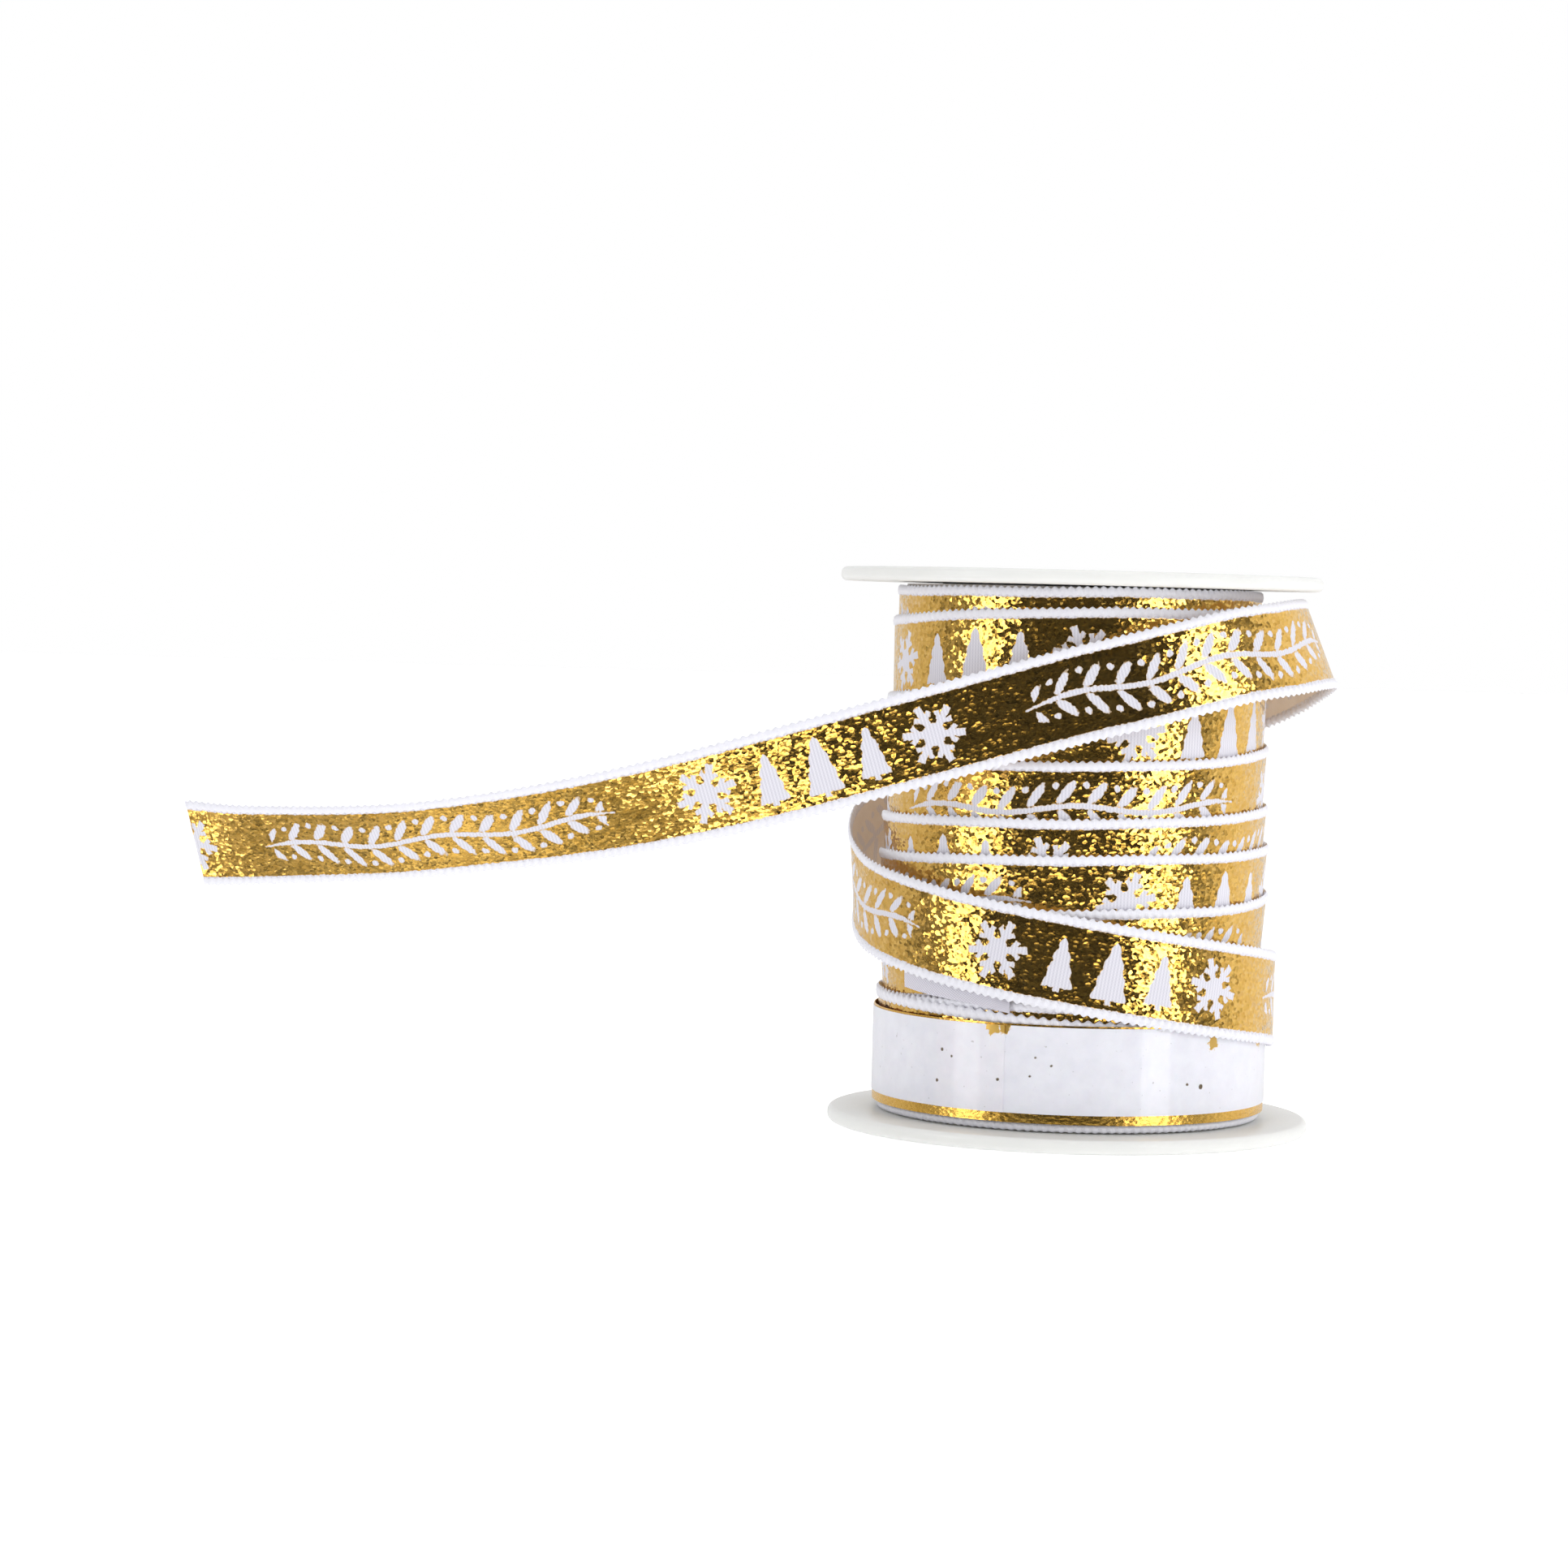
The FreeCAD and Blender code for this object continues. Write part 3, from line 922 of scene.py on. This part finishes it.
def gold_film():
    """Thin gold film of the holding band, finely crinkled round the spool."""
    material, tree, shader = new_material("gold_film_crinkled", Metallic=1.0)
    place = object_places(tree)
    x, y, z = separate(tree, place)
    round_it = combine(tree, x, y, z * FILM_STRETCH)
    crinkle = cells(tree, round_it, FILM_CRINKLES_PER_MM, 0.5)
    fine = noise(tree, round_it, 3.2, 3.0, 0.6)
    drift = noise(tree, place, 0.2)
    feed(tree, blend_colour(tree, drift, GOLD_DEEP, GOLD_BRIGHT), shader.inputs["Base Color"])
    feed(tree, blend_number(fine, 0.18, 0.34), shader.inputs["Roughness"])
    feed(tree, bump(tree, crinkle * 0.7 + fine * 0.45, FILM_DEPTH), shader.inputs["Normal"])
    return material


def glossy_label():
    """White paper label under clear film, with dark specks and flecks of gold off the foil."""
    material, tree, shader = new_material(
        "label_paper", Coat_Weight=0.45, Coat_Roughness=0.1, Subsurface_Weight=0.1,
        Subsurface_Scale=0.001,
    )
    place = object_places(tree)
    x, y, z = separate(tree, place)
    along = around(x, y, LABEL_RADIUS)
    ragged = (noise(tree, place, 2.2, 3.0, 0.6) - 0.5) * 0.9

    def marks(places):
        """Ragged spots at azimuths and heights, each with a radius."""
        spots = []
        for azimuth, height, radius in places:
            aside = along - math.radians(azimuth) * LABEL_RADIUS
            above = z - height
            spots.append((aside * aside + above * above).apply("SQRT") - radius)
        return smallest(*spots)

    gold = inside(marks(LABEL_FLECKS) + ragged * 1.6, 0.12)
    specks = inside(marks(LABEL_SPECKS) + ragged * 0.25, 0.1)
    dust_size = noise(tree, place, 2.4, 1.0)
    dust = calc(tree, "MULTIPLY_ADD", dust_size, DUST_GAIN, DUST_START, clamp=True) * DUST_SHARE
    mottle = noise(tree, place, 0.5, 4.0, 0.6)
    paper = blend_colour(tree, mottle, LABEL_SHADE, LABEL_LIGHT)
    worn = blend_colour(tree, largest(specks, dust), paper, SPECK_COLOUR)
    feed(tree, blend_colour(tree, gold, worn, GOLD_BRIGHT), shader.inputs["Base Color"])
    feed(tree, gold, shader.inputs["Metallic"])
    feed(tree, blend_number(mottle, 0.28, 0.5), shader.inputs["Roughness"])
    height = mottle * 0.5 + gold * 0.6 + ragged * 0.1
    feed(tree, bump(tree, height, LABEL_DEPTH), shader.inputs["Normal"])
    return material


def clear_tape():
    """Yellowish tape that holds the ribbon's first end on the core."""
    material, tree, shader = new_material("core_tape", Coat_Weight=0.3)
    x, y, z = separate(tree, object_places(tree))
    streaks = noise(tree, combine(tree, x, y, z * 0.1), 1.4, 3.0)
    feed(tree, blend_colour(tree, streaks, TAPE_SHADE, TAPE_LIGHT), shader.inputs["Base Color"])
    feed(tree, blend_number(streaks, 0.3, 0.45), shader.inputs["Roughness"])
    feed(tree, bump(tree, streaks, TAPE_DEPTH), shader.inputs["Normal"])
    return material


def wound_layers():
    """The winding below the outer turns: many layers of ribbon seen on edge and on face."""
    material, tree, shader = new_material("wound_ribbon_layers", Sheen_Weight=0.2)
    place = object_places(tree)
    x, y, z = separate(tree, place)
    reach = (x * x + y * y).apply("SQRT")
    layers = (reach * (TAU / LAYER_PITCH)).apply("SINE") * 0.5 + 0.5
    rows = (z * (TAU / LAYER_ROW_PITCH)).apply("SINE") * 0.5 + 0.5
    mixed = layers * 0.6 + rows * 0.2 + noise(tree, place, 1.5, 3.0) * 0.2
    feed(tree, blend_colour(tree, mixed, REVERSE_SHADE, YARN_LIGHT), shader.inputs["Base Color"])
    feed(tree, blend_number(mixed, 0.6, 0.45), shader.inputs["Roughness"])
    feed(tree, bump(tree, mixed, LAYER_DEPTH), shader.inputs["Normal"])
    return material


# ================================================================ the object
def declare_ribbon(length):
    """Works out the flat size of a stretch of ribbon, with its length in millimetres, and does
    nothing more with it.
    """
    flat = (RIBBON_WIDTH * MM, length * MM)


def add_wound_turns(materials):
    """The turns that show above the band."""
    pattern = wound_pattern()
    for number in range(1, len(WOUND_TURNS) - 1):
        front = -TURN_LENGTH * (number - 1)
        start, end = front - TURN_LENGTH / 2, front + TURN_LENGTH / 2
        turn = ribbon(f"wound_ribbon_{number}", wound_frames, pattern, start, end, materials)
        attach(turn, "spool")
        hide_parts(f"ribbon_turn_{number}")
        declare_ribbon(TURN_LENGTH)


def add_banded_turn(materials):
    """The turn under the holding band, with its folded-over corner."""

    def pattern(run, sample):
        return run + BANDED_PHASE

    start, end = (math.radians(BANDED_TURN[row][0]) * WOUND_RADIUS for row in (0, -1))
    turn = ribbon("banded_ribbon", banded_frames, pattern, start, end, materials, BANDED_CORD_SCALE)
    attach(turn, "spool")
    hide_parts("ribbon_banded_turn")

    builder = Builder()
    azimuth = np.linspace(FLAP[0][0], FLAP[-1][0], FLAP_STATIONS)
    low, high = smooth(FLAP, azimuth)
    share = np.linspace(0.0, 1.0, FLAP_COLUMNS + 1)
    crown = FLAP_CROWN * np.sin(math.pi * share)
    height = low[:, None] + (high - low)[:, None] * np.concatenate([share, share[::-1]])
    lift = np.concatenate([crown + FLAP_HALF_THICKNESS, crown[::-1] - FLAP_HALF_THICKNESS])
    points = polar(FLAP_RADIUS + lift[None, :], azimuth[:, None], height)
    run = np.radians(azimuth) * FLAP_RADIUS
    place = FLAP_PATTERN_WIDTH * np.concatenate([share, share[::-1]])[::-1]
    slots = np.zeros(len(place), int)
    builder.tube(points[:, ::-1], (place, np.roll(place, -1)), (run[:-1], run[1:]), slots, 0)
    flap = builder.finish("folded_flap", [flap_satin()])
    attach(flap, "spool")
    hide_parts("ribbon_flap")
    declare_ribbon(end - start)


def add_lowest_edge(yarn):
    """Corded edge of the ribbon under the holding band, where it rests on the lower flange."""
    builder = Builder()
    azimuth = np.linspace(-180.0, 180.0, LOWEST_EDGE_STATIONS)
    turn = np.arange(CORD_POINTS) * TAU / CORD_POINTS
    twist = TAU * np.radians(azimuth)[:, None] * LOWEST_EDGE_RADIUS / CORD_PITCH
    wave = np.sin(turn[None, :] + twist)
    size = LOWEST_EDGE_SIZE * (1 - CORD_RIDGE * (0.25 - 0.25 * wave))
    radius = LOWEST_EDGE_RADIUS + size * np.cos(turn)
    points = polar(radius, azimuth[:, None], LOWEST_EDGE_HEIGHT + size * np.sin(turn))
    span = (turn, turn + TAU / CORD_POINTS)
    run = np.radians(azimuth) * LOWEST_EDGE_RADIUS
    builder.tube(points, span, (run[:-1], run[1:]), np.zeros(CORD_POINTS, int), 0)
    edge = builder.finish("lowest_ribbon_edge", [yarn])
    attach(edge, "spool")


def add_loose_ribbon(materials):
    """The loose coil in two pieces, and the tail in three, cut between its hinges."""
    pattern = loose_pattern()
    front, split, end = run_at_azimuth(0.0), run_at_azimuth(COIL_SPLIT), ROUTE[-1, 0]
    for name, node, stretch, below in (
        ("loose_ribbon_loop", "loose_loop", (front, split), "wound_ribbon_4"),
        ("loose_ribbon_diagonal", "loose_diagonal", (split, end), "wound_ribbon_7"),
    ):
        piece = ribbon(name, loose_frames, pattern, *stretch, materials)
        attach(piece, "loose_coil")
        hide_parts(node)
        declare_ribbon(stretch[1] - stretch[0])

    hinge_3, hinge_2, hinge_1 = (ROUTE[index, 0] for index in TAIL_HINGES)
    joined_1, joined_2 = (hinge_1 + hinge_2) / 2, (hinge_2 + hinge_3) / 2
    for name, nodes, stretch, hinge, bodies in (
        (
            "tail_ribbon_inner",
            ["tail_root", "tail_link_1"],
            (joined_1, front),
            hinge_1,
            ("loose_coil", "tail_inner"),
        ),
        (
            "tail_ribbon_middle",
            ["tail_link_2"],
            (joined_2, joined_1),
            hinge_2,
            ("tail_inner", "tail_middle"),
        ),
        (
            "tail_ribbon_end",
            ["tail_link_3"],
            (0.0, joined_2),
            hinge_3,
            ("tail_middle", "tail_end"),
        ),
    ):
        piece = ribbon(name, loose_frames, pattern, *stretch, materials)
        ends = (hinge - TAIL_BLEND_REACH, hinge + TAIL_BLEND_REACH)
        far, near = (loose_frames([end])[0][0] * MM for end in ends)
        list(bodies)
        tuple(near)
        tuple(far)
        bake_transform(piece)
        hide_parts(*nodes)
        declare_ribbon(stretch[1] - stretch[0])


def finish_nodes():
    """Gives the CAD nodes that stay as they are their detailed materials."""
    looks = {
        "lower_flange": milky_plastic("milky_plastic_lower", 0.3),
        "upper_flange": milky_plastic("milky_plastic_upper", 0.3),
        "core_tube": milky_plastic("milky_plastic_core", 0.42),
        "holding_band": gold_film(),
        "band_label": glossy_label(),
        "start_tape": clear_tape(),
        "ribbon_inner_winding": wound_layers(),
    }
    for name, material in looks.items():
        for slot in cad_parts[name].material_slots:
            slot.material = material


# ================================================================ studio
def set_world():
    """White surroundings, darker on the camera's side, and plain white where the camera looks."""
    world = bpy.data.worlds.new("white_studio")
    world.use_nodes = True
    tree = world.node_tree
    tree.nodes.clear()
    direction = add_node(tree, "ShaderNodeTexCoord", {}).outputs["Generated"]
    x, y, z = separate(tree, direction)
    level_reach = (x * x + y * y + LEAST_REACH).apply("SQRT")
    towards_front = (y * -1.0).apply("DIVIDE", level_reach)
    inputs = {"Value": towards_front, "From Min": FRONT_START, "From Max": FRONT_END}
    is_front = add_node(tree, "ShaderNodeMapRange", inputs, interpolation_type="SMOOTHSTEP")
    ramp = add_node(tree, "ShaderNodeValToRGB", {"Fac": z * 0.5 + 0.5})
    stops = ramp.color_ramp.elements
    while len(stops) < len(FRONT_LEVELS):
        stops.new(0.5)
    for stop, (rise, level) in zip(stops, FRONT_LEVELS):
        stop.position = 0.5 + rise / 2
        stop.color = (level / FRONT_PEAK,) * 3 + (1.0,)
    patches = noise(tree, direction, PATCH_SCALE, 2.0)
    unevenness = largest((patches - 0.5) * PATCH_CONTRAST + 1.0, PATCH_LEAST)
    front = Field(tree, ramp.outputs[0]) * unevenness * FRONT_PEAK
    sides = x * SIDE_RISE + SIDE_LEVEL
    level = sides + Field(tree, is_front.outputs[0]) * (front - sides)
    white = (1, 1, 1, 1)
    lit = add_node(tree, "ShaderNodeBackground", {"Color": white, "Strength": level})
    seen = add_node(tree, "ShaderNodeBackground", {"Color": white, "Strength": 1.0})
    camera_ray = add_node(tree, "ShaderNodeLightPath", {}).outputs["Is Camera Ray"]
    inputs = {0: camera_ray, 1: lit.outputs[0], 2: seen.outputs[0]}
    mix = add_node(tree, "ShaderNodeMixShader", inputs)
    output = tree.nodes.new("ShaderNodeOutputWorld")
    tree.links.new(mix.outputs[0], output.inputs["Surface"])
    bpy.context.scene.world = world


def add_area_light(name, place, target, size, radiance, mirrored=True):
    """Rectangular soft light in metres, as bright to look at as its radiance."""
    light = bpy.data.lights.new(name, "AREA")
    light.shape = "RECTANGLE"
    light.size, light.size_y = size
    light.energy = radiance * math.pi * size[0] * size[1]
    thing = bpy.data.objects.new(name, light)
    thing.location = place
    aim = Vector(target) - Vector(place)
    thing.rotation_euler = aim.to_track_quat("-Z", "Y").to_euler()
    thing.visible_camera = False
    thing.visible_glossy = mirrored
    bpy.context.scene.collection.objects.link(thing)


def add_floor():
    mesh = bpy.data.meshes.new("floor")
    sides = ((-1, -1), (1, -1), (1, 1), (-1, 1))
    corners = [(x * FLOOR_HALF_SIZE, y * FLOOR_HALF_SIZE, FLOOR_DROP) for x, y in sides]
    mesh.from_pydata(corners, [], [(0, 1, 2, 3)])
    material, tree, shader = new_material(
        "pale_floor", Roughness=0.7, Emission_Color=(1, 1, 1, 1), Emission_Strength=FLOOR_GLOW,
    )
    tone = noise(tree, object_places(tree), 0.02)
    feed(tree, blend_colour(tree, tone, FLOOR_SHADE, FLOOR_LIGHT), shader.inputs["Base Color"])
    mesh.materials.append(material)
    floor = bpy.data.objects.new("floor", mesh)
    floor.visible_glossy = False
    bpy.context.scene.collection.objects.link(floor)


def add_camera():
    data = bpy.data.cameras.new("camera")
    data.lens = CAMERA_LENS
    data.sensor_width = CAMERA_SENSOR
    data.clip_start, data.clip_end = CAMERA_CLIP
    camera = bpy.data.objects.new("camera", data)
    turn = Matrix.Rotation(math.radians(CAMERA_TURN_LEFT), 4, "Z")
    tilt = Matrix.Rotation(math.radians(90 - CAMERA_TILT_DOWN), 4, "X")
    roll = Matrix.Rotation(math.radians(CAMERA_ROLL), 4, "Z")
    place = Matrix.Translation(Vector(CAMERA_PLACE) * MM)
    camera.matrix_world = place @ turn @ tilt @ roll
    bpy.context.scene.collection.objects.link(camera)
    bpy.context.scene.camera = camera


def add_studio():
    set_world()
    add_floor()
    for name, azimuth, distance, size, radiance in SOFTBOXES:
        spot = polar(distance, azimuth, SOFTBOX_HEIGHT)
        add_area_light(name, spot, LIGHT_TARGET, size, radiance)
    azimuth, distance, height, size, radiance = FILL_LIGHT
    spot = polar(distance, azimuth, height)
    add_area_light("camera_fill", spot, LIGHT_TARGET, size, radiance, mirrored=False)
    place, size, radiance = TOP_LIGHT
    add_area_light("top_light", place, (0.0, 0.0, 0.0), size, radiance)
    add_camera()
    bpy.context.scene.view_settings.view_transform = "Standard"


def main():
    ribbon_materials = [printed_face(), woven_reverse(), cord_yarn()]
    add_wound_turns(ribbon_materials)
    add_banded_turn(ribbon_materials)
    add_lowest_edge(ribbon_materials[-1])
    add_loose_ribbon(ribbon_materials)
    finish_nodes()
    add_studio()


main()
